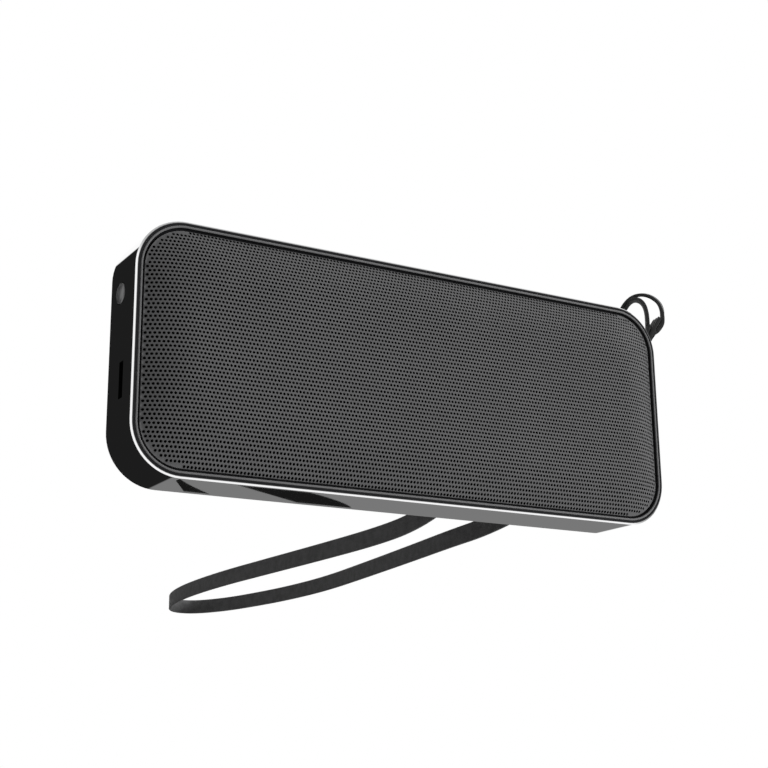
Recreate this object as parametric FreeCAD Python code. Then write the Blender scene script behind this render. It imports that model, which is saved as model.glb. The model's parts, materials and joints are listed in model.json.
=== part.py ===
import FreeCAD, Part
import math
import os

from FreeCAD import Vector

# Splash-proof portable speaker with a carrying strap, standing on its long flat side.
# Frame: +X to the right as seen from the front, the grille faces -Y, +Z up.
# The origin is under the middle of the body, on the surface that it stands on.
# Lengths are millimetres. A depth is measured backwards from the bezel's front plane.

# ---- driving dimensions -------------------------------------------------------------
body_width = 200.9
body_height = 79.9
corner_radius = 16.25
band_depth = 20.6
front_rise = 4.9
rear_rise = 4.1

band_wall = 1.8
lip_depth = 0.5
lip_bevel = 0.45
ledge_wall = 3.6
rebate_inset = 0.6
rebate_depth = 1.2
bead_outer = 1.45
bead_inner = 2.0
bead_rise = 0.3
fit_gap = 0.2
moving_gap = 0.3

grille_inset = 2.9
grille_sheet = 0.7
grille_edge_depth = 0.6
grille_slope = 16.7
cover_wall = 2.2
cover_slope = 14.0
cover_inset = 2.4
rise_steps = 8

driver_x = 60.0
driver_seat = 5.2
driver_hole = 20.2
counterbore = 23.0
driver_screw_ring = 21.3

button_height = 57.7
button_depth = 12.2
button_radius = 3.2
button_rise = 0.8
button_flange = 0.3
switch_depth = 10.8
slot_depth = 9.2
slot_width = 3.2
slot_length = 11.4
slot_top = 35.5

key_pitch = 14.0
key_width = 9.0
key_thickness = 5.0
key_depth = 11.4
key_corner = 1.2

pocket_depth = 11.8
pocket_width = 7.2
pocket_height = 11.5
pocket_middle = 58.0
pocket_wall = 0.8
pin_radius = 1.1
strap_width = 6.8
strap_thickness = 1.3
strap_tube_radius = 1.6

port_depth = 11.5
port_width = 7.2
port_bottom = 17.2
port_top = 44.5
hinge_height = 18.6
hinge_radius = 0.45
flap_thickness = 1.7
jack_height = 37.0
jack_radius = 1.8
jack_depth = 10.6
socket_height = 26.0

screw_radius = 0.85

# ---- derived places -----------------------------------------------------------------
total_depth = front_rise + band_depth + rear_rise
front_plane = front_rise - total_depth / 2
middle = body_height / 2
half_width = body_width / 2
inner_end = half_width - band_wall
inner_top = body_height - band_wall
seal_inset = band_wall + 0.1
bezel_seat = 3.2
seat_inset = 5.0
baffle_front = 4.4
baffle_rear = 7.4
hinge_x = half_width - 0.9
pin_x = half_width - 3.6
ledge_front = 16.2
ledge_rear = 17.2
flange_front = 18.0
lug_xs = (-86.0, -42.0, 42.0, 86.0)
lug_half = 3.5
lug_reach = 7.0
screw_rise = middle - 6.9
key_xs = (-key_pitch, 0.0, key_pitch)
board_front = 9.6
board_rear = 10.8
board_bottom = 62.0
board_top = 74.0
left_board_front = 12.0
right_board_front = 13.4
board_thickness = board_rear - board_front


# ---- helpers ------------------------------------------------------------------------
def y_at(depth):
    return front_plane + depth


def outline(half_w, half_h, radius, depth, centre=(0.0, middle)):
    """Closed rounded rectangle in an XZ plane."""
    y = y_at(depth)
    arcs = []
    for step, (side, up) in enumerate(((1, 1), (-1, 1), (-1, -1), (1, -1))):
        cx = centre[0] + side * (half_w - radius)
        cz = centre[1] + up * (half_h - radius)
        turns = [math.radians(90 * step + 45 * part) for part in range(3)]
        arcs.append([Vector(cx + radius * math.cos(a), y, cz + radius * math.sin(a)) for a in turns])
    edges = []
    for arc, following in zip(arcs, arcs[1:] + arcs[:1]):
        edges.append(Part.Arc(*arc).toShape())
        edges.append(Part.LineSegment(arc[2], following[0]).toShape())
    return Part.Wire(edges)


def slab(half_w, half_h, radius, start, end, centre=(0.0, middle)):
    """Rounded rectangular plate between two depths."""
    face = Part.Face(outline(half_w, half_h, radius, start, centre))
    return face.extrude(Vector(0, end - start, 0))


def layer(inset, start, end):
    """Plate that follows the body's outline, moved inwards by the inset."""
    return slab(half_width - inset, middle - inset, corner_radius - inset, start, end)


def ring(outer, inner, start, end):
    return layer(outer, start, end).cut(layer(inner, start, end))


def block(x0, x1, start, end, z0, z1):
    return Part.makeBox(x1 - x0, end - start, z1 - z0, Vector(x0, y_at(start), z0))


def disc(x, z, radius, start, end):
    """Cylinder along Y."""
    return Part.makeCylinder(radius, end - start, Vector(x, y_at(start), z), Vector(0, 1, 0))


def bar(x0, x1, depth, z, radius):
    """Cylinder along X."""
    return Part.makeCylinder(radius, x1 - x0, Vector(x0, y_at(depth), z), Vector(1, 0, 0))


def column(x, depth, width, thickness, radius, z0, z1):
    """Upright bar with rounded corners, centred on x and depth."""
    corner = Vector(x - width / 2, y_at(depth) - thickness / 2, z0)
    box = Part.makeBox(width, thickness, z1 - z0, corner)
    upright = [e for e in box.Edges if abs(e.tangentAt(e.FirstParameter).z) > 0.9]
    return box.makeFillet(radius, upright)


def turned(profile, x, z, depth):
    """Solid of revolution about a Y axis; the profile is pairs of radius and depth."""
    points = [Vector(x + r, y_at(depth + d), z) for r, d in profile]
    face = Part.Face(Part.makePolygon(points + points[:1]))
    return face.revolve(Vector(x, 0, z), Vector(0, 1, 0), 360)


def pillow(inset, edge_depth, rise, slope):
    """Solid that swells from its rounded outline to a flat crown; a negative rise faces forwards."""
    wires = []
    for step in range(rise_steps + 1):
        share = step / rise_steps
        height = rise * (1 - (1 - share) ** 2)
        half_w = half_width - inset - slope * share
        half_h = middle - inset - slope * share
        wires.append(outline(half_w, half_h, corner_radius - inset, edge_depth + height))
    return Part.makeLoft(wires, True, True)


def fused(shapes):
    whole = shapes[0]
    for shape in shapes[1:]:
        whole = whole.fuse(shape)
    return whole.removeSplitter()


def without(shape, cutters):
    for cutter in cutters:
        shape = shape.cut(cutter)
    return shape


def screw(x, z, head, tip, head_radius=1.6, head_length=1.0):
    """Pan-head screw along Y; the head lies on the side away from the tip."""
    forwards = 1 if tip > head else -1
    seat = head + forwards * head_length
    cap = disc(x, z, head_radius, min(head, seat), max(head, seat))
    shank = disc(x, z, screw_radius, min(seat, tip), max(seat, tip))
    recess = disc(x, z, head_radius * 0.45, min(head, head + forwards * 0.5), max(head, head + forwards * 0.5))
    return cap.fuse(shank).cut(recess)


def tube(points, radius):
    """Round tube along straight runs that are joined by tangent arcs."""
    edges, radii = [], []
    start = points[0]
    for before, corner, after in zip(points, points[1:], points[2:]):
        back, ahead = before - corner, after - corner
        turn = math.pi - back.getAngle(ahead)
        reach = 0.45 * min(back.Length, ahead.Length)
        radii.append(reach / math.tan(turn / 2))
        enter = corner + back.normalize() * reach
        leave = corner + ahead.normalize() * reach
        inside = corner + (back + ahead).normalize() * (radii[-1] * (1 / math.cos(turn / 2) - 1))
        edges.append(Part.LineSegment(start, enter).toShape())
        edges.append(Part.Arc(enter, inside, leave).toShape())
        start = leave
    edges.append(Part.LineSegment(start, points[-1]).toShape())
    path = Part.Wire(edges)
    section = Part.Wire(Part.makeCircle(radius, points[0], points[1] - points[0]))
    solid = path.makePipeShell([section], True, False)
    return solid, radii, path.Length


def tell(name, solid, radii, length, radius):
    ideal = math.pi * radius ** 2 * length
    print(f"{name}: length {length:.1f}, volume {solid.Volume:.1f}, section times length {ideal:.1f}")
    print(f"{name}: radii " + " ".join(f"{r:.1f}" for r in radii))


def lead(name, points, radius):
    """Short internal wire at its full length."""
    solid, radii, length = tube([Vector(x, y_at(d), z) for x, d, z in points], radius)
    tell(name, solid, radii, length, radius)
    return solid


# ---- shells -------------------------------------------------------------------------
def screw_places():
    return [(x, middle + side * screw_rise) for x in lug_xs for side in (-1, 1)]


def lug(x, z):
    """Screw boss inside a long wall of the band."""
    if z > middle:
        low, high = inner_top - lug_reach, inner_top + fit_gap
    else:
        low, high = band_wall - fit_gap, band_wall + lug_reach
    return block(x - lug_half, x + lug_half, baffle_rear, ledge_rear, low, high)


def bevelled_body():
    """The body's full outline over the band's depth, bevelled at both ends."""
    def narrow(depth):
        return outline(half_width - lip_bevel, middle - lip_bevel, corner_radius - lip_bevel, depth)

    def wide(depth):
        return outline(half_width, middle, corner_radius, depth)

    front = Part.makeLoft([narrow(0), wide(lip_depth)], True, True)
    core = layer(0, lip_depth, band_depth - lip_depth)
    rear = Part.makeLoft([wide(band_depth - lip_depth), narrow(band_depth)], True, True)
    return fused([front, core, rear])


def band_openings():
    """Button hole, card slot, key windows, strap pocket, port window and hinge pin holes."""
    inside = inner_end - 0.5
    beyond = half_width + 0.5
    cuts = [bar(-beyond, -inside, button_depth, button_height, button_radius + moving_gap)]
    cuts.append(block(-beyond, -inside, slot_depth - slot_width / 2, slot_depth + slot_width / 2,
                      slot_top - slot_length, slot_top))
    for x in key_xs:
        cuts.append(column(x, key_depth, key_width + 2 * moving_gap, key_thickness + 2 * moving_gap,
                           key_corner, inner_top - 0.5, body_height + 0.5))
    cuts.append(block(inside, beyond, pocket_depth - pocket_width / 2, pocket_depth + pocket_width / 2,
                      pocket_middle - pocket_height / 2, pocket_middle + pocket_height / 2))
    cuts.append(block(inside, beyond, port_depth - port_width / 2, port_depth + port_width / 2,
                      port_bottom, port_top))
    cuts.append(flap_pin())
    return cuts


def side_band():
    shell = bevelled_body().cut(layer(band_wall, 0, band_depth))
    shell = shell.cut(layer(rebate_inset, 0, rebate_depth))
    shell = shell.cut(layer(rebate_inset, band_depth - rebate_depth, band_depth))
    ledge = ring(band_wall - fit_gap, ledge_wall, ledge_front, ledge_rear)
    lugs = [lug(x, z) for x, z in screw_places()]
    whole = without(fused([shell, ledge] + lugs), band_openings())
    front_holes = [disc(x, z, screw_radius, baffle_rear, baffle_rear + 4) for x, z in screw_places()]
    rear_holes = [disc(x, z, screw_radius, ledge_rear - 5, ledge_rear) for x, z in screw_places()]
    return without(whole, front_holes + rear_holes)


def front_bezel():
    """Black rim with a fine raised bead, a groove, a skirt inside the band and a seat for the grille."""
    rim = ring(rebate_inset, bead_inner, 0, rebate_depth)
    bead = ring(bead_outer, bead_inner, -bead_rise, 0)
    skirt = ring(seal_inset, grille_inset - 0.1, rebate_depth, bezel_seat)
    seat = ring(seal_inset, seat_inset, bezel_seat, baffle_front)
    return fused([rim, bead, skirt, seat])


def front_grille():
    """Perforated pan as a plain sheet: a swelling face with a short skirt."""
    outer = pillow(grille_inset, grille_edge_depth, -front_rise - grille_edge_depth, grille_slope)
    inner = outer.translated(Vector(0, grille_sheet, 0))
    face = outer.cut(inner)
    skirt = ring(grille_inset, grille_inset + grille_sheet, grille_edge_depth, bezel_seat)
    return fused([face, skirt])


def splash_membrane():
    return layer(grille_inset + grille_sheet + 0.1, bezel_seat - 0.3, bezel_seat)


def front_baffle():
    """Plate that carries the drivers and the radiator, with posts for the circuit boards."""
    plate = layer(2.6, baffle_front, baffle_rear)
    cuts = []
    for side in (-1, 1):
        x = side * driver_x
        cuts.append(disc(x, middle, driver_hole, baffle_front, baffle_rear))
        cuts.append(disc(x, middle, counterbore, baffle_front, driver_seat + 1.2))
        cuts += [disc(px, pz, screw_radius, baffle_front, baffle_rear) for px, pz in driver_screw_places(x)]
    cuts.append(slab(30.4, 17.4, 14.4, baffle_front, baffle_rear))
    cuts.append(slab(34.2, 21.2, 17.2, baffle_front, driver_seat + 1.2))
    cuts += [disc(x, z, 1.1, baffle_front, baffle_rear) for x, z in screw_places()]
    posts = [disc(x, z, 2.2, baffle_rear - fit_gap, board_front) for x, z in main_post_places()]
    posts += [disc(x, z, 2.0, baffle_rear - fit_gap, end) for x, z, end in end_post_places()]
    body = without(plate, cuts)
    whole = fused([body] + posts)
    holes = [disc(x, z, screw_radius, baffle_rear - 2, board_front) for x, z in main_post_places()]
    holes += [disc(x, z, screw_radius, baffle_rear - 2, end) for x, z, end in end_post_places()]
    return without(whole, holes)


def baffle_seal():
    return ring(band_wall, 2.6, baffle_front + 0.6, baffle_rear - 0.6)


def rear_cover():
    """Swelling back panel with a rim in the band's rebate and a flange on the gasket."""
    rim = layer(rebate_inset, band_depth - rebate_depth, band_depth)
    flange = layer(seal_inset, flange_front, band_depth - rebate_depth)
    swell = pillow(cover_inset, band_depth, rear_rise, cover_slope)
    hollow = pillow(cover_inset + cover_wall, band_depth - cover_wall, rear_rise, cover_slope)
    opening = layer(cover_inset + cover_wall, flange_front, band_depth - cover_wall)
    shell = fused([rim, flange, swell]).cut(hollow).cut(opening)
    bosses = [disc(x, z, 2.6, ledge_rear, band_depth) for x, z in screw_places()]
    whole = fused([shell] + bosses)
    sinks = [disc(x, z, 1.9, band_depth - 0.6, band_depth + rear_rise) for x, z in screw_places()]
    holes = [disc(x, z, 1.1, ledge_rear, band_depth) for x, z in screw_places()]
    crown = band_depth + rear_rise
    outer = slab(26.0, 9.0, 6.5, crown - 0.5, crown + 1)
    inner = slab(21.0, 6.5, 4.0, crown - 0.5, crown + 1)
    moulded_ring = outer.cut(inner)
    return without(whole, sinks + holes + [moulded_ring])


def rear_gasket():
    return ring(seal_inset, ledge_wall - 0.1, ledge_rear, flange_front)


# ---- drivers and radiator -----------------------------------------------------------
def driver_screw_places(x):
    places = []
    for step in range(4):
        angle = math.radians(45 + 90 * step)
        places.append((x + driver_screw_ring * math.cos(angle), middle + driver_screw_ring * math.sin(angle)))
    return places


def basket(x):
    profile = [(18.7, 0), (22.7, 0), (22.7, 1.2), (19.9, 1.2), (13.2, 7.2), (13.2, 8.2),
               (8.8, 8.2), (8.8, 7.2), (12.0, 7.2), (18.7, 1.2)]
    body = turned(profile, x, middle, driver_seat)
    window = block(x + 10.5, x + 22, driver_seat + 2.2, driver_seat + 6.4, middle - 5, middle + 5)
    for step in range(4):
        cut = window.copy()
        cut.rotate(Vector(x, 0, middle), Vector(0, 1, 0), 45 + 90 * step)
        body = body.cut(cut)
    holes = [disc(px, pz, screw_radius, driver_seat, driver_seat + 1.2) for px, pz in driver_screw_places(x)]
    return without(body, holes)


def surround(x):
    """Rubber half roll between the cone and the basket's rim."""
    inner, outer, sheet = 15.5, 18.9, 0.4
    centre, reach = (inner + outer) / 2, (outer - inner) / 2
    arch = [math.pi * step / 8 for step in range(9)]
    top = [(centre - reach * math.cos(a), -reach * 0.55 * math.sin(a) - sheet) for a in arch]
    under = [(centre + (reach - sheet) * math.cos(a), -(reach * 0.55 - sheet) * math.sin(a) - sheet)
             for a in arch]
    profile = top + [(19.9, -sheet), (19.9, 0), (outer - sheet, 0)] + under[1:-1] + [(inner + sheet, 0), (inner, 0)]
    return turned(profile, x, middle, driver_seat)


def cone(x):
    profile = [(15.2, -0.3), (15.2, 0.2), (6.6, 4.6), (6.2, 4.6), (6.2, 4.2), (4.5, 3.4),
               (0, 3.0), (0, 2.4), (4.6, 2.8), (6.4, 3.6)]
    return turned(profile, x, middle, driver_seat)


def voice_coil(x):
    profile = [(6.2, 4.6), (6.6, 4.6), (6.6, 7.6), (6.9, 7.6), (6.9, 10.2), (6.2, 10.2)]
    return turned(profile, x, middle, driver_seat)


def spider(x):
    return turned([(7.3, 6.2), (12.6, 6.2), (12.6, 6.5), (7.3, 6.5)], x, middle, driver_seat)


def magnet(x):
    return disc(x, middle, 5.8, driver_seat + 8.4, driver_seat + 12.4)


def yoke(x):
    profile = [(7.6, 8.2), (12.4, 8.2), (12.4, 14.0), (0, 14.0), (0, 12.4), (7.6, 12.4)]
    return turned(profile, x, middle, driver_seat)


def driver_screws():
    places = driver_screw_places(-driver_x) + driver_screw_places(driver_x)
    return Part.makeCompound([screw(x, z, driver_seat - 0.7, baffle_rear - 0.2, 1.3, 0.7) for x, z in places])


def radiator_frame():
    return slab(34.0, 21.0, 17.0, driver_seat, driver_seat + 1.2).cut(
        slab(29.0, 16.0, 13.0, driver_seat, driver_seat + 1.2))


def radiator_surround():
    glue = slab(33.0, 20.0, 16.0, driver_seat - 0.4, driver_seat)
    roll = slab(29.5, 16.5, 13.5, driver_seat - 1.2, driver_seat - 0.4)
    under = slab(28.9, 15.9, 12.9, driver_seat - 0.8, driver_seat)
    hole = slab(25.5, 12.5, 9.5, driver_seat - 1.2, driver_seat)
    inner_wall = slab(25.9, 12.9, 9.9, driver_seat - 0.8, driver_seat)
    return fused([glue, roll]).cut(under.cut(inner_wall)).cut(hole)


def radiator_plate():
    return slab(25.1, 12.1, 9.1, driver_seat - 0.2, driver_seat + 0.8)


def radiator_weight():
    return slab(14.0, 6.0, 4.0, driver_seat + 0.8, driver_seat + 2.6)


# ---- boards and battery -------------------------------------------------------------
def main_post_places():
    return [(-33.5, 71.4), (33.5, 71.4)]


def end_post_places():
    """Posts for the two end boards: x, z and the depth where each post stops."""
    left = [(-86.5, z, left_board_front) for z in (44.0, 58.5)]
    right = [(87.5, z, right_board_front) for z in (16.5, 46.5)]
    return left + right


def main_board():
    board = block(-36.5, 36.5, board_front, board_rear, board_bottom, board_top)
    return without(board, [disc(x, z, 1.0, board_front, board_rear) for x, z in main_post_places()])


def left_board():
    rear = left_board_front + board_thickness
    board = block(-96.0, -83.5, left_board_front, rear, 19.0, 63.0)
    return without(board, [disc(x, z, 1.0, left_board_front, rear) for x, z, end in end_post_places() if x < 0])


def right_board():
    rear = right_board_front + board_thickness
    board = block(84.0, 95.9, right_board_front, rear, 13.0, 49.8)
    return without(board, [disc(x, z, 1.0, right_board_front, rear) for x, z, end in end_post_places() if x > 0])


def board_screws():
    screws = [screw(x, z, board_rear + 0.8, baffle_rear - 1.5, 1.6, 0.8) for x, z in main_post_places()]
    screws += [screw(x, z, end + 2.0, baffle_rear - 1.5, 1.6, 0.8) for x, z, end in end_post_places()]
    return Part.makeCompound(screws)


def radio_module():
    """Shielded wireless module on the back of the main board."""
    can = block(-30.0, -18.0, board_rear, board_rear + 2.0, 63.0, 73.0)
    pressed_panel = block(-29.0, -19.0, board_rear + 1.8, board_rear + 2.0, 64.0, 72.0)
    return can.cut(pressed_panel)


def amplifier_parts():
    """Amplifier chip, two coils and two capacitors as separate solids."""
    chip = block(0.0, 6.0, board_rear, board_rear + 1.0, 64.0, 70.0)
    coils = [block(x, x + 5, board_rear, board_rear + 2.6, 63.5, 68.5) for x in (9.0, 16.0)]
    cans = [disc(x, 66.0, 2.0, board_rear, board_rear + 4.5) for x in (24.8, 29.2)]
    return Part.makeCompound([chip] + coils + cans)


def battery_socket():
    return block(-8.0, -2.0, board_rear, board_rear + 3.0, 62.4, 66.4)


def key_switches():
    """Three side-pressed switches under the keys."""
    switches = []
    for x in key_xs:
        body = block(x - 2.6, x + 2.6, board_rear, board_rear + 2.4, 70.2, 73.4)
        plunger = block(x - 1.0, x + 1.0, board_rear + 0.6, board_rear + 1.8, 73.4, 74.0)
        switches.append(body.fuse(plunger))
    return Part.makeCompound(switches)


def key(x):
    """Key cap with a retaining flange and a stem that reaches its switch."""
    cap = column(x, key_depth, key_width, key_thickness, key_corner, inner_top - 1.2, body_height + 0.4)
    flange = column(x, key_depth, key_width + 2.2, key_thickness + 2.2, key_corner,
                    inner_top - 1.2, inner_top - 0.4)
    stem = block(x - 1.0, x + 1.0, board_rear + 0.5, board_rear + 1.9, 74.6, inner_top - 1.2)
    return fused([cap, flange, stem])


def key_frame():
    """Guide strip glued under the band around the three keys."""
    strip = block(-22.5, 22.5, baffle_rear + 0.1, ledge_front - 0.1, inner_top - 2.0, inner_top)
    openings = [column(x, key_depth, key_width + 2.2 + 2 * moving_gap, key_thickness + 2.2 + 2 * moving_gap,
                       key_corner, inner_top - 2.5, inner_top + 0.5) for x in key_xs]
    return without(strip, openings)


def power_button():
    """Domed round button with an inner flange and a short stem towards its switch."""
    crown = bar(-half_width, -inner_end + 0.8, button_depth, button_height, button_radius)
    ball_radius = 8.0
    top = -half_width - button_rise
    ball = Part.makeSphere(ball_radius, Vector(top + ball_radius, y_at(button_depth), button_height))
    tall = bar(top, -half_width, button_depth, button_height, button_radius)
    flange = bar(-inner_end + 0.4, -inner_end + 1.2, button_depth, button_height, button_radius + button_flange)
    stem = bar(-inner_end + 1.2, -95.0, switch_depth, button_height, 0.8)
    return fused([crown, tall.common(ball), flange, stem])


def power_button_seal():
    ring_end = -inner_end + 1.2
    outer = bar(-inner_end, ring_end, button_depth, button_height, 4.8)
    hole = bar(-inner_end, ring_end, button_depth, button_height, button_radius + button_flange + fit_gap)
    room = block(-inner_end, ring_end, baffle_rear, ledge_front, button_height - 5, button_height + 5)
    return outer.cut(hole).common(room)


def power_switch():
    body = block(-93.8, -89.6, 9.2, left_board_front, button_height - 2.2, button_height + 2.2)
    plunger = bar(-94.4, -93.8, switch_depth, button_height, 0.8)
    return body.fuse(plunger)


def card_socket():
    """Sheet metal socket whose mouth stands behind the slot in the band."""
    low, high = slot_top - slot_length - 0.6, slot_top + 0.6
    shell = block(-inner_end + 0.1, -84.5, slot_depth - 1.3, left_board_front, low, high)
    mouth = block(-inner_end, -86.0, slot_depth - 0.9, slot_depth + 0.9, low + 0.9, high - 0.9)
    return shell.cut(mouth)


def charge_socket():
    shell = block(84.5, 96.0, 9.4, 13.4, socket_height - 4.0, socket_height + 4.0)
    mouth = block(87.0, 96.5, 10.3, 12.5, socket_height - 3.4, socket_height + 3.4)
    tongue = block(87.0, 94.8, 11.1, 11.6, socket_height - 2.4, socket_height + 2.4)
    return shell.cut(mouth).fuse(tongue)


def audio_jack():
    body = block(83.6, 95.6, jack_depth - 2.8, 13.4, jack_height - 3.0, jack_height + 3.0)
    nose = bar(95.6, 97.0, jack_depth, jack_height, 2.6)
    return body.fuse(nose).cut(bar(85.0, 97.5, jack_depth, jack_height, jack_radius))


def port_frame():
    """Plastic insert behind the port window, with an opening for each socket."""
    outer = block(96.0, inner_end, port_depth - port_width / 2 - 0.3, port_depth + port_width / 2 + 0.3,
                  port_bottom - 1.5, port_top + 1.5)
    recess = block(97.6, inner_end, port_depth - port_width / 2, port_depth + port_width / 2,
                   port_bottom, port_top)
    jack = bar(95.5, 98.5, jack_depth, jack_height, 2.6)
    socket = block(95.5, 98.5, 10.0, 12.8, socket_height - 3.8, socket_height + 3.8)
    return without(outer, [recess, jack, socket])


def flap_pin():
    """Steel pin through the knuckle, held in the band on both sides of the port window."""
    y = y_at(port_depth - port_width / 2 - 0.9)
    return Part.makeCylinder(hinge_radius, port_width + 1.8, Vector(hinge_x, y, hinge_height), Vector(0, 1, 0))


def port_flap():
    """Soft door with a knuckle at its foot and a finger lip at its head."""
    start = port_depth - port_width / 2 + moving_gap
    end = port_depth + port_width / 2 - moving_gap
    door = block(half_width - flap_thickness, half_width, start, end, hinge_height, port_top - moving_gap)
    knuckle = disc(hinge_x, hinge_height, flap_thickness / 2, start, end)
    notch = block(half_width - 0.8, half_width, start + 1.5, end - 1.5, port_top - 1.8, port_top)
    bore = disc(hinge_x, hinge_height, hinge_radius + 0.05, start, end)
    return without(fused([door, knuckle]), [bore, notch])


def battery_cell():
    """Flat pouch cell with a folded top seal."""
    body = slab(34.0, 17.5, 2.5, 14.0, 21.5)
    seal = block(-26.0, 26.0, 16.8, 17.8, middle + 17.5, middle + 20.0)
    return fused([body, seal])


def battery_foam():
    return Part.makeCompound([block(x, x + 8, 21.5, band_depth + rear_rise - cover_wall, middle - 14, middle + 14)
                              for x in (-30.0, -4.0, 22.0)])


def battery_lead():
    return lead("battery_lead", [(-24, 17.3, middle + 20.0), (-24, 17.3, 63), (-20.5, 16, 66.2),
                                 (-15, 13.8, 66.6), (-11, 12.5, 64.9), (-8, 12.3, 64.4)], 0.7)


def speaker_leads():
    """One lead from each end of the main board to the nearer driver."""
    leads = []
    for side in (-1, 1):
        route = [(36.5, 10.2, 64.0), (40.0, 10.3, 63.6), (43.6, 10.2, 61.2), (46.2, 10.0, 57.4),
                 (47.8, 10.0, 52.0)]
        leads.append(lead("speaker_leads", [(side * x, d, z) for x, d, z in route], 0.7))
    return Part.makeCompound(leads)


def control_cable():
    return lead("control_cable", [(-36.5, 10.2, 68), (-48, 10.0, 67.4), (-62, 10.0, 67.2), (-74, 10.8, 67.6),
                                  (-81.5, 11.6, 67.6), (-85, 12.4, 66.2), (-86, 12.6, 63)], 0.9)


def port_cable():
    return lead("port_cable", [(36.5, 10.2, 68), (48, 10.0, 67.2), (61, 10.0, 67.0), (72, 10.6, 65.2),
                               (81, 11.8, 61.8), (85.4, 13.2, 56.4), (86, 14.0, 49.8)], 0.9)


# ---- strap --------------------------------------------------------------------------
def strap_pocket():
    """Cup behind the pocket window that carries the strap pin."""
    low, high = pocket_middle - pocket_height / 2, pocket_middle + pocket_height / 2
    start, end = pocket_depth - pocket_width / 2, pocket_depth + pocket_width / 2
    cup = block(90.5, inner_end, start - pocket_wall, end + pocket_wall, low - 1.5, high + 1.0)
    cup = cup.common(layer(band_wall, 0, band_depth))
    cavity = block(92.0, inner_end, start, end, low, high)
    return cup.cut(cavity).cut(strap_pin())


def strap_pin():
    start = pocket_depth - pocket_width / 2 - pocket_wall
    return disc(pin_x, pocket_middle, pin_radius, start, start + pocket_width + 2 * pocket_wall)


def flat_run(start, end):
    """Straight stretch of the band of leather in the XZ plane, with round ends."""
    along = Vector(end[0] - start[0], 0, end[1] - start[1])
    y = y_at(pocket_depth) - strap_width / 2
    side = Vector(-along.z, 0, along.x).normalize() * (strap_thickness / 2)
    low = Vector(start[0], y, start[1])
    face = Part.Face(Part.makePolygon([low + side, low + along + side, low + along - side, low - side, low + side]))
    cap = Part.makeCylinder(strap_thickness / 2, strap_width, low + along, Vector(0, 1, 0))
    return face.extrude(Vector(0, strap_width, 0)).fuse(cap)


def strap_tab():
    """End of the strap that wraps the pin, with the stitched tail between its two legs."""
    wrap_radius = pin_radius + 0.1
    start, end = pocket_depth - strap_width / 2, pocket_depth + strap_width / 2
    wrap = disc(pin_x, pocket_middle, wrap_radius + strap_thickness, start, end)
    wrap = wrap.cut(disc(pin_x, pocket_middle, wrap_radius, start, end))
    reach = wrap_radius + strap_thickness / 2
    lower = [(pin_x + 0.5, pocket_middle - reach), (101.2, 57.9), (103.6, 64.0), (106.4, 71.0), (110.1, 76.3)]
    upper = [(pin_x + 0.2, pocket_middle + reach), (101.2, 62.8), (103.6, 68.6), (106.2, 74.4), (108.2, 78.6)]
    tail = [(105.4, 71.0), (108.3, 77.4), (112.0, 82.8)]
    runs = [flat_run(a, b) for route in (lower, upper) for a, b in zip(route, route[1:])]
    runs += [flat_run(a, b) for a, b in zip(tail, tail[1:])]
    return fused([wrap] + runs)


def strap_loop():
    """Free part of the strap: a curl above the body's corner, down behind it and round on the surface."""
    rest = strap_width / 2
    y_exit = y_at(pocket_depth)
    route = [
        (110.1, y_exit, 76.3), (113.8, 1.9, 79.0), (116.3, 2.2, 84.6), (116.9, 3.5, 90), (114.8, 5.5, 93.3),
        (111.9, 8, 94.7), (109.4, 11, 94.1), (107.9, 14, 91.6), (107.2, 16.8, 87.6), (104.8, 18.6, 80),
        (99, 19.6, 68), (91, 20.5, 50), (80, 23.5, 27), (68, 31, 11), (60, 44, 5.4),
        (56.3, 61, rest), (61.5, 95, rest), (68.5, 145, rest), (74.8, 195, rest), (74.5, 235, rest),
        (71, 264, rest), (66.3, 288, rest), (56.5, 306.5, rest), (43.5, 304, rest), (33.5, 282, rest),
        (27, 248, rest), (24.8, 203, rest), (26.3, 158, rest), (28, 112, rest), (28.6, 72, rest),
        (29.5, 48, 4.6), (34, 36, 9.5), (46, 29, 22), (61, 25, 38), (78, 22, 56),
        (93, 19.6, 70), (103, 18.3, 79.5), (108, 16, 88.2), (109, 10.8, 92.7), (109.4, 5.2, 90.2),
        (109, 2.4, 84.2), (108.2, y_exit, 78.6),
    ]
    solid, radii, length = tube([Vector(*point) for point in route], strap_tube_radius)
    tell("strap_loop", solid, radii, length, strap_tube_radius)
    return solid


# ---- case screws --------------------------------------------------------------------
def rear_screws():
    head = band_depth - 0.6
    return Part.makeCompound([screw(x, z, head + 0.9, head - 7.5, 1.7, 0.9) for x, z in screw_places()])


def baffle_screws():
    return Part.makeCompound([screw(x, z, baffle_front - 0.8, baffle_rear + 3.6, 1.7, 0.8)
                              for x, z in screw_places()])


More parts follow.
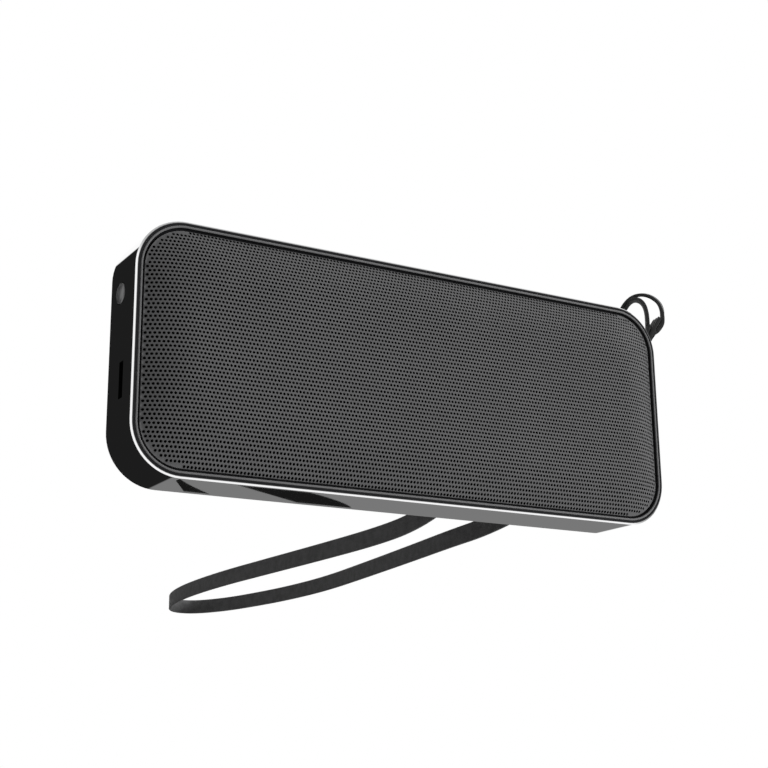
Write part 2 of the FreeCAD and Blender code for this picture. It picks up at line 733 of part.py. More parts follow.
# ---- output -------------------------------------------------------------------------
def all_parts():
    parts = {
        "side_band": side_band(),
        "front_bezel": front_bezel(),
        "front_grille": front_grille(),
        "splash_membrane": splash_membrane(),
        "front_baffle": front_baffle(),
        "baffle_seal": baffle_seal(),
        "rear_cover": rear_cover(),
        "rear_gasket": rear_gasket(),
        "driver_screws": driver_screws(),
        "radiator_frame": radiator_frame(),
        "radiator_surround": radiator_surround(),
        "radiator_plate": radiator_plate(),
        "radiator_weight": radiator_weight(),
        "main_board": main_board(),
        "left_board": left_board(),
        "right_board": right_board(),
        "board_screws": board_screws(),
        "radio_module": radio_module(),
        "amplifier_parts": amplifier_parts(),
        "battery_socket": battery_socket(),
        "key_switches": key_switches(),
        "key_frame": key_frame(),
        "power_button": power_button(),
        "power_button_seal": power_button_seal(),
        "power_switch": power_switch(),
        "card_socket": card_socket(),
        "charge_socket": charge_socket(),
        "audio_jack": audio_jack(),
        "port_frame": port_frame(),
        "flap_pin": flap_pin(),
        "port_flap": port_flap(),
        "battery_cell": battery_cell(),
        "battery_foam": battery_foam(),
        "strap_pocket": strap_pocket(),
        "strap_pin": strap_pin(),
        "strap_tab": strap_tab(),
        "strap_loop": strap_loop(),
        "rear_screws": rear_screws(),
        "baffle_screws": baffle_screws(),
    }
    for name, x in zip(("volume_down_key", "play_key", "volume_up_key"), key_xs):
        parts[name] = key(x)
    makers = {"basket": basket, "surround": surround, "cone": cone, "voice_coil": voice_coil,
              "spider": spider, "magnet": magnet, "yoke": yoke}
    for side, x in (("left", -driver_x), ("right", driver_x)):
        for piece, maker in makers.items():
            parts[f"driver_{side}_{piece}"] = maker(x)
    parts["battery_lead"] = battery_lead()
    parts["speaker_leads"] = speaker_leads()
    parts["control_cable"] = control_cable()
    parts["port_cable"] = port_cable()
    return parts


os.makedirs("parts", exist_ok=True)
for name, shape in all_parts().items():
    if not shape.isValid() or shape.Volume <= 0:
        print(f"{name} is not a valid solid")
    shape.exportStep(f"parts/{name}.step")
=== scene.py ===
import json
import math

import bpy
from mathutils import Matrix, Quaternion, Vector
from mathutils.geometry import delaunay_2d_cdt


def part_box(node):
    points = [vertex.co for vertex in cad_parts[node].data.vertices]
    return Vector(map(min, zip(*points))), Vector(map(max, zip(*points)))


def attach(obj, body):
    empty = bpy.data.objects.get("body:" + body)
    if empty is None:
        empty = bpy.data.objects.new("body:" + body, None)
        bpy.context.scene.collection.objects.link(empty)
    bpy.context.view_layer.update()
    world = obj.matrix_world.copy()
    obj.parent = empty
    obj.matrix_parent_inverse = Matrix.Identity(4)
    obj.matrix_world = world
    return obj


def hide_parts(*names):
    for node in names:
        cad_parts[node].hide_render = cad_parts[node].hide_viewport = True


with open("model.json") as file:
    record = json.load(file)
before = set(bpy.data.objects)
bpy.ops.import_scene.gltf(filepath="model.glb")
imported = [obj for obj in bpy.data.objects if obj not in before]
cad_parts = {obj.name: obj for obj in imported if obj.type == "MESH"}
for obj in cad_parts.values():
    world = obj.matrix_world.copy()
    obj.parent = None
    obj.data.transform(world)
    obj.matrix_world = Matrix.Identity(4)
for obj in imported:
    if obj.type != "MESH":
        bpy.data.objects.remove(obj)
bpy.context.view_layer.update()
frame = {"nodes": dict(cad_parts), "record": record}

# Everything is in metres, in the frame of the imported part: +X right, the grille faces -Y, +Z up.
# ---- driving values -----------------------------------------------------------------
MM = 0.001

camera_place = Vector((-245.5, -395.6, -86.7)) * MM
camera_direction = Vector((0.4943, 0.8274, 0.2667))
camera_roll = math.radians(0.6)
camera_lens = 67.95

floor_reach = 12.0
floor_depth = 0.05 * MM
floor_shade = 0.14
floor_glow = 0.70
world_diffuse = 0.13
# Where each part of the studio fades in, as a start and an end along its axis or slant.
flag_slant = 0.415
flag_edge = (0.19, 0.15)
flag_left = (-0.75, -0.6)
flag_foot = (-0.62, -0.5)
behind_edge = (0.25, 0.45)
low_top = (-0.02, -0.08)
low_foot = (-0.55, -0.42)
front_edge = (-0.35, -0.6)
far_right_edge = (0.72, 0.95)
overhead_edge = (0.55, 0.9)
flag_black = 0.0125
flag_grey = 0.195
front_shade = 0.25
far_right_shade = 0.42
overhead_shade = 0.5
card_y = 100 * MM
card_low = -24.3
card_high = -19.8
card_glow = 0.009
card_steps = 8
# Each card by its left foot, left head, right foot and right head, and how far its right side bows out.
cards = ((-41, -37, -38.5, -26.5, -1.0), (-15, 10.5, 16, 35, 3.4))
# Each lamp by its name, place, target, length, height and power.
lamps = (("key", (0.75, -0.95, 0.12), (0, 0, 0.04), 0.5, 0.22, 17.5),
         ("top", (0.0, 0.1, 1.1), (0, 0.05, 0.0), 0.9, 0.9, 1.0),
         ("under", (-0.2, -0.2, -0.9), (0, 0.1, 0.0), 0.7, 0.7, 0.5))

strap_width = 6.8 * MM
strap_thickness = 1.3 * MM
strap_rounding = 0.35 * MM
strap_turned_above = 76 * MM
strap_upright_below = 8 * MM
outer_curl_direction = Vector((0.69, 0.65, 0.32))
inner_curl_direction = Vector((0.58, 0.76, 0.30))
tab_direction = Vector((0.45, 0.86, 0.22))
tail_direction = Vector((0.41, 0.88, 0.22))
pin_direction = Vector((0, 1, 0))
tooth_length = 1.1 * MM
end_slant = 1.8 * MM

hole_pitch = 1.225 * MM
hole_row = 1.30 * MM
hole_radius = 0.45 * MM
hole_sides = 8
hole_margin = 0.18 * MM
rim_inset = 0.1 * MM
sheet_thickness = 0.7 * MM
dome_slope = 16.7 * MM
dome_rise = 5.5 * MM
corner_radius = 16.25 * MM

# Steps of an outline along each corner, long side and short side.
grille_steps = (14, 130, 36)
rim_steps = (24, 24, 8)
strap_steps = (3, 6, 1)

# Extent of the card slot on the band, which its material fills with near-black painted shade.
slot_depth = 9.2 * MM
slot_middle = 29.8 * MM
slot_skin = 0.02 * MM
slot_half_length = 5.9 * MM
slot_half_width = 1.8 * MM

band_low, band_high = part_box("side_band")
grille_low, grille_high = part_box("front_grille")
middle_height = (band_low.z + band_high.z) / 2
half_width = (band_high.x - band_low.x) / 2
half_height = (band_high.z - band_low.z) / 2
grille_half_width = (grille_high.x - grille_low.x) / 2
grille_half_height = (grille_high.z - grille_low.z) / 2
grille_corner = corner_radius - (half_width - grille_half_width)
grille_edge = grille_low.y + dome_rise
card_slot = Vector((band_low.x + slot_skin, band_low.y + slot_depth, slot_middle))


# ---- camera, floor and light --------------------------------------------------------
def aim(thing, direction, roll=0.0):
    """Turns a camera or lamp so that it looks along the direction."""
    thing.rotation_mode = "QUATERNION"
    level = direction.to_track_quat("-Z", "Y")
    thing.rotation_quaternion = Quaternion(direction.normalized(), roll) @ level


def link(thing):
    bpy.context.scene.collection.objects.link(thing)
    return thing


def make_camera():
    camera = link(bpy.data.objects.new("camera", bpy.data.cameras.new("camera")))
    camera.location = camera_place
    camera.data.lens = camera_lens
    camera.data.clip_start = 0.01
    camera.data.clip_end = 50
    aim(camera, camera_direction, camera_roll)
    bpy.context.scene.camera = camera


def make_lamp(name, place, target, length, height, watts):
    data = bpy.data.lights.new(name, "AREA")
    data.shape = "RECTANGLE"
    data.size = length
    data.size_y = height
    data.energy = watts
    lamp = link(bpy.data.objects.new(name, data))
    lamp.location = place
    lamp.visible_glossy = False
    aim(lamp, Vector(target) - Vector(place))


def make_floor():
    """Pale, partly self-lit floor that is seen from above only, so that a low camera looks past it."""
    mesh = bpy.data.meshes.new("floor")
    sides = ((-1, -1), (1, -1), (1, 1), (-1, 1))
    corners = [(x * floor_reach, y * floor_reach, -floor_depth) for x, y in sides]
    mesh.from_pydata(corners, [], [(0, 1, 2, 3)])
    floor = link(bpy.data.objects.new("floor", mesh))
    floor.visible_shadow = False
    floor.visible_glossy = False
    floor.visible_diffuse = False
    paint = bpy.data.materials.new("floor_paper")
    paint.use_nodes = True
    nodes, links = paint.node_tree.nodes, paint.node_tree.links
    nodes.clear()
    side = nodes.new("ShaderNodeNewGeometry")
    pale = nodes.new("ShaderNodeBsdfDiffuse")
    pale.inputs["Color"].default_value = (floor_shade, floor_shade, floor_shade, 1)
    glow = nodes.new("ShaderNodeEmission")
    glow.inputs["Strength"].default_value = floor_glow
    both = nodes.new("ShaderNodeAddShader")
    clear = nodes.new("ShaderNodeBsdfTransparent")
    mix = nodes.new("ShaderNodeMixShader")
    out = nodes.new("ShaderNodeOutputMaterial")
    links.new(side.outputs["Backfacing"], mix.inputs[0])
    links.new(pale.outputs[0], both.inputs[0])
    links.new(glow.outputs[0], both.inputs[1])
    links.new(both.outputs[0], mix.inputs[1])
    links.new(clear.outputs[0], mix.inputs[2])
    links.new(mix.outputs[0], out.inputs["Surface"])
    mesh.materials.append(paint)


def make_world():
    """White studio with a black flag behind the left end, a grey one low behind it all, and a darker
    front, far right and ceiling, as the shiny parts mirror it."""
    world = bpy.data.worlds.new("studio")
    bpy.context.scene.world = world
    world.use_nodes = True
    nodes, links = world.node_tree.nodes, world.node_tree.links
    nodes.clear()
    place = nodes.new("ShaderNodeTexCoord")
    axes = nodes.new("ShaderNodeSeparateXYZ")
    links.new(place.outputs["Generated"], axes.inputs[0])

    def math_node(operation, a, b):
        node = nodes.new("ShaderNodeMath")
        node.operation = operation
        for socket, value in zip(node.inputs, (a, b)):
            if isinstance(value, (int, float)):
                socket.default_value = value
            else:
                links.new(value, socket)
        return node.outputs[0]

    def step(value, start, end):
        node = nodes.new("ShaderNodeMapRange")
        node.interpolation_type = "SMOOTHSTEP"
        node.inputs["From Min"].default_value = start
        node.inputs["From Max"].default_value = end
        links.new(value, node.inputs["Value"])
        return node.outputs["Result"]

    def blend(share, first, second):
        node = nodes.new("ShaderNodeMix")
        node.data_type = "RGBA"
        links.new(share, node.inputs[0])
        for socket, value in ((node.inputs[6], first), (node.inputs[7], second)):
            if isinstance(value, (int, float)):
                socket.default_value = (value, value, value, 1)
            else:
                links.new(value, socket)
        return node.outputs[2]

    x, y, z = axes.outputs
    slant = math_node("ADD", x, math_node("MULTIPLY", z, flag_slant))
    behind = step(y, *behind_edge)
    black = math_node("MULTIPLY", behind, step(slant, *flag_edge))
    black = math_node("MULTIPLY", black, step(x, *flag_left))
    black = math_node("MULTIPLY", black, step(z, *flag_foot))
    low = math_node("MULTIPLY", step(z, *low_top), step(z, *low_foot))
    grey = math_node("MULTIPLY", behind, low)
    front = step(y, *front_edge)
    far_right = blend(step(x, *far_right_edge), 1.0, far_right_shade)
    open_side = blend(step(z, *overhead_edge), far_right, overhead_shade)
    shine = blend(black, blend(grey, blend(front, open_side, front_shade), flag_grey), flag_black)
    ray = nodes.new("ShaderNodeLightPath")
    glossy = blend(ray.outputs["Is Glossy Ray"], world_diffuse, shine)
    seen = blend(ray.outputs["Is Camera Ray"], glossy, 1.0)
    back = nodes.new("ShaderNodeBackground")
    out = nodes.new("ShaderNodeOutputWorld")
    links.new(seen, back.inputs["Color"])
    links.new(back.outputs[0], out.inputs["Surface"])


def make_cards():
    """Thin dark slanted cards behind the speaker, which only its polished underside mirrors."""
    paint = bpy.data.materials.new("card_grey")
    paint.use_nodes = True
    paint.node_tree.nodes.clear()
    glow = paint.node_tree.nodes.new("ShaderNodeEmission")
    glow.inputs["Strength"].default_value = card_glow
    out = paint.node_tree.nodes.new("ShaderNodeOutputMaterial")
    paint.node_tree.links.new(glow.outputs[0], out.inputs["Surface"])
    shares = [k / card_steps for k in range(card_steps + 1)]
    for k, (left_foot, left_head, right_foot, right_head, bow) in enumerate(cards):
        left = [(left_foot + (left_head - left_foot) * t, t) for t in shares]
        right = [(right_foot + (right_head - right_foot) * t + bow * 4 * t * (1 - t), t)
                 for t in reversed(shares)]
        corners = [(x * MM, card_y, (card_low + (card_high - card_low) * t) * MM) for x, t in left + right]
        mesh = bpy.data.meshes.new(f"card_{k}")
        mesh.from_pydata(corners, [], [tuple(range(len(corners)))])
        mesh.materials.append(paint)
        card = link(bpy.data.objects.new(f"card_{k}", mesh))
        card.visible_camera = False
        card.visible_diffuse = False
        card.visible_shadow = False


def make_stage():
    make_world()
    make_floor()
    make_cards()
    for lamp in lamps:
        make_lamp(*lamp)
    bpy.context.scene.view_settings.view_transform = "Standard"


# ---- materials ----------------------------------------------------------------------
class Paint:
    """A node material whose colour, roughness and relief are set step by step."""

    def __init__(self, name, colour, roughness, metallic=0.0, coat=0.0, sheen=0.0, specular=0.5):
        self.material = bpy.data.materials.new(name)
        self.material.use_nodes = True
        self.nodes, self.links = self.material.node_tree.nodes, self.material.node_tree.links
        self.shader = self.nodes["Principled BSDF"]
        self.colour, self.roughness = colour, roughness
        self.set("Base Color", (*colour, 1))
        self.set("Roughness", roughness)
        self.set("Metallic", metallic)
        self.set("Coat Weight", coat)
        self.set("Sheen Weight", sheen)
        self.set("Specular IOR Level", specular)
        self.material.diffuse_color = (*colour, 1)
        self.height = None
        self.place = self.nodes.new("ShaderNodeTexCoord").outputs["Object"]

    def set(self, socket, value):
        self.shader.inputs[socket].default_value = value

    def math(self, operation, a, b=0.0):
        node = self.nodes.new("ShaderNodeMath")
        node.operation = operation
        for socket, value in zip(node.inputs, (a, b)):
            if isinstance(value, (int, float)):
                socket.default_value = value
            else:
                self.links.new(value, socket)
        return node.outputs[0]

    def stretched(self, scale):
        node = self.nodes.new("ShaderNodeMapping")
        node.inputs["Scale"].default_value = scale
        self.links.new(self.place, node.inputs["Vector"])
        return node.outputs["Vector"]

    def noise(self, size, detail=3.0, stretch=(1, 1, 1)):
        """Soft random pattern whose features are about size across."""
        node = self.nodes.new("ShaderNodeTexNoise")
        node.inputs["Scale"].default_value = 1 / size
        node.inputs["Detail"].default_value = detail
        self.links.new(self.stretched(stretch), node.inputs["Vector"])
        return node.outputs["Fac"]

    def cells(self, size):
        node = self.nodes.new("ShaderNodeTexVoronoi")
        node.inputs["Scale"].default_value = 1 / size
        self.links.new(self.place, node.inputs["Vector"])
        return node.outputs["Distance"]

    def waves(self, size, axis):
        node = self.nodes.new("ShaderNodeTexWave")
        node.bands_direction = axis
        node.inputs["Scale"].default_value = 0.314 / size
        self.links.new(self.place, node.inputs["Vector"])
        return node.outputs["Fac"]

    def ramp(self, value, low, high, start=0.3, end=0.7):
        node = self.nodes.new("ShaderNodeMapRange")
        for socket, number in (("From Min", start), ("From Max", end), ("To Min", low), ("To Max", high)):
            node.inputs[socket].default_value = number
        self.links.new(value, node.inputs["Value"])
        return node.outputs["Result"]

    def tint(self, value, dark, light):
        """Colour that runs with the pattern from dark to light times the base colour."""
        node = self.nodes.new("ShaderNodeMix")
        node.data_type = "RGBA"
        self.links.new(self.ramp(value, 0.0, 1.0), node.inputs[0])
        node.inputs[6].default_value = (*(c * dark for c in self.colour), 1)
        node.inputs[7].default_value = (*(c * light for c in self.colour), 1)
        self.links.new(node.outputs[2], self.shader.inputs["Base Color"])
        return self

    def wear(self, value, spread):
        """Roughness that varies by the spread around its set value."""
        varied = self.ramp(value, self.roughness - spread, self.roughness + spread)
        self.links.new(varied, self.shader.inputs["Roughness"])
        return self

    def relief(self, value, height, strength=1.0):
        """Raises the surface by the pattern, on top of any relief before."""
        node = self.nodes.new("ShaderNodeBump")
        node.inputs["Distance"].default_value = height
        node.inputs["Strength"].default_value = strength
        self.links.new(value, node.inputs["Height"])
        if self.height is not None:
            self.links.new(self.height, node.inputs["Normal"])
        self.height = node.outputs["Normal"]
        self.links.new(self.height, self.shader.inputs["Normal"])
        return self


def polished_metal():
    """Mirror finish with faint haze, and near-black painted shade over the card slot, where the slot goes
    through the band.
    """
    paint = Paint("polished_band", (0.93, 0.93, 0.935), 0.02, metallic=1.0)
    place = paint.nodes.new("ShaderNodeSeparateXYZ")
    paint.links.new(paint.place, place.inputs[0])
    x, y, z = place.outputs
    # Card slot mask: painted shade, the slot's inside coloured near-black and made rough on the band.
    along = paint.math("COMPARE", z, card_slot.z)
    along.node.inputs[2].default_value = slot_half_length
    across = paint.math("COMPARE", y, card_slot.y)
    across.node.inputs[2].default_value = slot_half_width
    within = paint.math("MULTIPLY", along, across)
    slot_shade_mask = paint.math("MULTIPLY", within, paint.math("GREATER_THAN", x, card_slot.x))
    slot_shade_mask = paint.math("MULTIPLY", slot_shade_mask, paint.math("LESS_THAN", x, 0.0))
    haze = paint.ramp(paint.noise(9 * MM), 0.012, 0.028)
    shade = paint.nodes.new("ShaderNodeMix")
    shade.data_type = "RGBA"
    shade.inputs[6].default_value = (0.93, 0.93, 0.935, 1)
    shade.inputs[7].default_value = (0.006, 0.006, 0.006, 1)
    paint.links.new(slot_shade_mask, shade.inputs[0])
    paint.links.new(shade.outputs[2], paint.shader.inputs["Base Color"])
    slot_shade_roughness = paint.math("MULTIPLY", slot_shade_mask, 0.7)
    paint.links.new(paint.math("MAXIMUM", haze, slot_shade_roughness), paint.shader.inputs["Roughness"])
    return paint


def rim_plastic():
    paint = Paint("rim_black", (0.010, 0.010, 0.011), 0.32, specular=0.35)
    paint.wear(paint.noise(5 * MM), 0.06)
    return paint.relief(paint.noise(0.35 * MM), 0.004 * MM, 0.5)


# Grey bead: a painted highlight on the rim's black bead, standing in for light along its rounded edge.
def bead_highlight_paint():
    paint = Paint("rim_bead", (0.15, 0.15, 0.152), 0.38)
    paint.wear(paint.noise(4 * MM), 0.05)
    return paint.tint(paint.noise(6 * MM), 0.94, 1.05)


def grille_metal():
    paint = Paint("grille_metal", (0.126, 0.126, 0.128), 0.46, metallic=0.18, specular=0.4)
    paint.wear(paint.noise(7 * MM), 0.05)
    paint.tint(paint.noise(22 * MM), 0.96, 1.04)
    return paint.relief(paint.noise(0.12 * MM, detail=2), 0.004 * MM, 0.5)


def hole_wall_shade():
    """Inside of the punched holes, painted near-black as painted shade."""
    paint = Paint("grille_holes", (0.02, 0.02, 0.0205), 0.7)
    paint.wear(paint.noise(1 * MM), 0.08)
    return paint.relief(paint.noise(0.1 * MM), 0.006 * MM, 0.5)


def membrane_cloth():
    paint = Paint("membrane_cloth", (0.004, 0.004, 0.004), 0.95, specular=0.1)
    weave = paint.math("MULTIPLY", paint.waves(0.35 * MM, "X"), paint.waves(0.35 * MM, "Z"))
    paint.tint(weave, 0.6, 1.2)
    return paint.relief(weave, 0.05 * MM)


def housing_plastic():
    """Black moulded plastic with a fine spark-eroded texture."""
    paint = Paint("housing_plastic", (0.022, 0.022, 0.0235), 0.52)
    paint.wear(paint.noise(8 * MM), 0.06)
    paint.tint(paint.noise(25 * MM), 0.9, 1.1)
    return paint.relief(paint.noise(0.28 * MM, detail=5), 0.03 * MM, 0.7)


def rubber(name, colour, grain=0.2 * MM):
    paint = Paint(name, colour, 0.72, specular=0.35)
    paint.wear(paint.noise(6 * MM), 0.08)
    paint.tint(paint.noise(12 * MM), 0.9, 1.12)
    return paint.relief(paint.noise(grain, detail=4), 0.012 * MM, 0.6)


def satin_button():
    paint = Paint("button_grey", (0.30, 0.30, 0.303), 0.34, metallic=0.3)
    paint.wear(paint.noise(2 * MM), 0.04)
    return paint.relief(paint.noise(0.1 * MM), 0.003 * MM, 0.5)


def screw_metal(name, colour, roughness):
    paint = Paint(name, colour, roughness, metallic=1.0)
    paint.wear(paint.noise(0.6 * MM, stretch=(1, 4, 1)), 0.10)
    paint.tint(paint.noise(1.5 * MM), 0.85, 1.08)
    return paint.relief(paint.noise(0.15 * MM, stretch=(1, 6, 1)), 0.006 * MM, 0.5)


def board_green():
    """Solder mask over copper tracks."""
    paint = Paint("board_green", (0.018, 0.105, 0.045), 0.34, coat=0.4)
    tracks = paint.waves(1.3 * MM, "X")
    paint.tint(paint.math("MULTIPLY", tracks, paint.noise(7 * MM, detail=0)), 0.75, 1.5)
    return paint.relief(tracks, 0.03 * MM, 0.4)


def tinned_can():
    paint = Paint("tinned_can", (0.62, 0.62, 0.61), 0.33, metallic=1.0)
    paint.wear(paint.noise(1.5 * MM), 0.09)
    return paint.tint(paint.noise(3 * MM), 0.9, 1.05)


def moulded(name, colour, roughness=0.5):
    paint = Paint(name, colour, roughness)
    paint.wear(paint.noise(3 * MM), 0.08)
    paint.tint(paint.noise(4 * MM), 0.9, 1.1)
    return paint.relief(paint.noise(0.15 * MM), 0.01 * MM, 0.5)


def battery_wrap():
    paint = Paint("battery_wrap", (0.46, 0.48, 0.50), 0.38, metallic=0.7)
    creases = paint.noise(6 * MM, detail=5)
    paint.wear(creases, 0.12)
    paint.tint(creases, 0.85, 1.1)
    return paint.relief(creases, 0.25 * MM, 0.5)


def open_foam():
    paint = Paint("foam_grey", (0.07, 0.07, 0.072), 0.95, specular=0.1)
    pores = paint.cells(0.5 * MM)
    paint.tint(pores, 0.4, 1.3)
    return paint.relief(pores, 0.3 * MM)


def cone_fibre():
    paint = Paint("cone_paper", (0.035, 0.035, 0.037), 0.8, specular=0.2)
    fibres = paint.noise(0.8 * MM, detail=6, stretch=(1, 1, 3))
    paint.tint(fibres, 0.7, 1.4)
    return paint.relief(fibres, 0.05 * MM)


def coil_copper():
    paint = Paint("coil_copper", (0.60, 0.27, 0.12), 0.32, metallic=1.0)
    turns = paint.waves(0.25 * MM, "Y")
    paint.tint(turns, 0.7, 1.1)
    return paint.relief(turns, 0.08 * MM)


def spider_cloth():
    paint = Paint("spider_cloth", (0.38, 0.26, 0.11), 0.85, specular=0.2)
    weave = paint.math("MULTIPLY", paint.waves(0.5 * MM, "X"), paint.waves(0.5 * MM, "Z"))
    paint.tint(weave, 0.65, 1.25)
    return paint.relief(weave, 0.08 * MM)


def strap_leather():
    """Dark grey leather with a fine pebble grain and soft cloudy shades."""
    paint = Paint("strap_leather", (0.105, 0.105, 0.106), 0.66, sheen=0.15, specular=0.35)
    pebbles = paint.cells(0.42 * MM)
    clouds = paint.noise(3.2 * MM, detail=5)
    paint.wear(paint.noise(2 * MM), 0.08)
    paint.tint(paint.math("ADD", paint.math("MULTIPLY", pebbles, 0.35), paint.math("MULTIPLY", clouds, 0.8)),
               0.68, 1.38)
    paint.relief(clouds, 0.08 * MM, 0.5)
    return paint.relief(pebbles, 0.07 * MM, 0.8)


def strap_edge_paint():
    """Darker sealed edge of the leather."""
    paint = Paint("strap_edge", (0.016, 0.016, 0.0165), 0.55)
    paint.wear(paint.noise(1.2 * MM), 0.08)
    return paint.relief(paint.noise(0.3 * MM, detail=4), 0.03 * MM, 0.6)


paints = {
    "polished_band": polished_metal(), "rim_black": rim_plastic(), "rim_bead": bead_highlight_paint(),
    "grille_metal": grille_metal(), "grille_holes": hole_wall_shade(), "membrane_cloth": membrane_cloth(),
    "housing_plastic": housing_plastic(),
    "seal_rubber": rubber("seal_rubber", (0.02, 0.02, 0.02)),
    "flap_rubber": rubber("flap_rubber", (0.026, 0.026, 0.027)),
    "key_rubber": rubber("key_rubber", (0.03, 0.03, 0.031)), "button_grey": satin_button(),
    "screw_steel": screw_metal("screw_steel", (0.55, 0.55, 0.56), 0.32),
    "screw_dark": screw_metal("screw_dark", (0.06, 0.06, 0.062), 0.42),
    "board_green": board_green(), "tinned_can": tinned_can(),
    "chip_black": moulded("chip_black", (0.02, 0.02, 0.021)),
    "connector_white": moulded("connector_white", (0.68, 0.66, 0.60)), "battery_wrap": battery_wrap(),
    "foam_grey": open_foam(), "cone_paper": cone_fibre(), "coil_copper": coil_copper(),
    "spider_cloth": spider_cloth(), "strap_leather": strap_leather(), "strap_edge": strap_edge_paint(),
    "wire_red": moulded("wire_red", (0.36, 0.018, 0.014), 0.42),
    "wire_black": moulded("wire_black", (0.014, 0.014, 0.014), 0.42),
    "basket_steel": moulded("basket_steel", (0.03, 0.03, 0.032), 0.4),
    "magnet_nickel": screw_metal("magnet_nickel", (0.50, 0.49, 0.46), 0.28),
}


def dress_frame():
    """Gives every carried-over CAD node the material of its slot."""
    slots = {part["node"]: part["material_slot"] for part in frame["record"]["subparts"]}
    for name, node in frame["nodes"].items():
        node.data.materials.clear()
        node.data.materials.append(paints[slots[name]].material)


# ---- mesh helpers -------------------------------------------------------------------
def make_piece(name, points, faces, paint_names, body="housing", face_paints=None):
    mesh = bpy.data.meshes.new(name)
    mesh.from_pydata(points, [], faces)
    for paint_name in paint_names:
        mesh.materials.append(paints[paint_name].material)
    if face_paints:
        mesh.polygons.foreach_set("material_index", face_paints)
    mesh.polygons.foreach_set("use_smooth", [True] * len(mesh.polygons))
    mesh.update()
    piece = link(bpy.data.objects.new(name, mesh))
    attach(piece, body)
    return piece


def outline(half_w, half_h, radius, arc_steps, long_steps, short_steps):
    """Points of a rounded rectangle around the middle, in X and height above the middle."""
    points = []
    sides = ((1, 1), (-1, 1), (-1, -1), (1, -1))
    for turn, (side, up) in enumerate(sides):
        cx, cz = side * (half_w - radius), up * (half_h - radius)
        for step in range(arc_steps + 1):
            angle = math.pi / 2 * (turn + step / arc_steps)
            points.append((cx + radius * math.cos(angle), cz + radius * math.sin(angle)))
        after_side, after_up = sides[(turn + 1) % 4]
        start = points[-1]
        end = (after_side * (half_w - radius) + radius * math.cos(angle),
               after_up * (half_h - radius) + radius * math.sin(angle))
        steps = short_steps if turn % 2 else long_steps
        for step in range(1, steps):
            share = step / steps
            points.append((start[0] + (end[0] - start[0]) * share, start[1] + (end[1] - start[1]) * share))
    return points


def loop_faces(rings):
    """Quads between neighbouring rings of the same number of points."""
    faces = []
    for first, second in zip(rings, rings[1:]):
        for i in range(len(first)):
            j = (i + 1) % len(first)
            faces.append((first[i], first[j], second[j], second[i]))
    return faces


# ---- perforated grille --------------------------------------------------------------
def inset_of(x, z):
    """How far a point lies inside the grille's outline, with the same corner radius at every inset."""
    x, z = abs(x), abs(z)
    u, v = x - grille_half_width + grille_corner, z - grille_half_height + grille_corner
    root = (u + v) ** 2 - 2 * (u * u + v * v - grille_corner ** 2)
    if root > 0:
        corner = (math.sqrt(root) - (u + v)) / 2
        if u + corner >= 0 and v + corner >= 0:
            return corner
    return min(grille_half_width - x, grille_half_height - z)


def dome(x, z):
    """Y of the grille's front face."""
    share = max(0.0, 1 - inset_of(x, z) / dome_slope)
    return grille_edge - dome_rise * (1 - share * share)


def hole_places():
    """Lattice cells, as row and half-pitch column, whose hole lies well inside the outline."""
    rows = int(grille_half_height / hole_row)
    columns = int(grille_half_width / hole_pitch * 2)
    cells = set()
    for row in range(-rows, rows + 1):
        for column in range(-columns, columns + 1):
            if (column + row) % 2:
                continue
            x, z = column * hole_pitch / 2, row * hole_row
            if inset_of(x, z) > hole_radius + hole_margin:
                cells.add((row, column))
    return cells


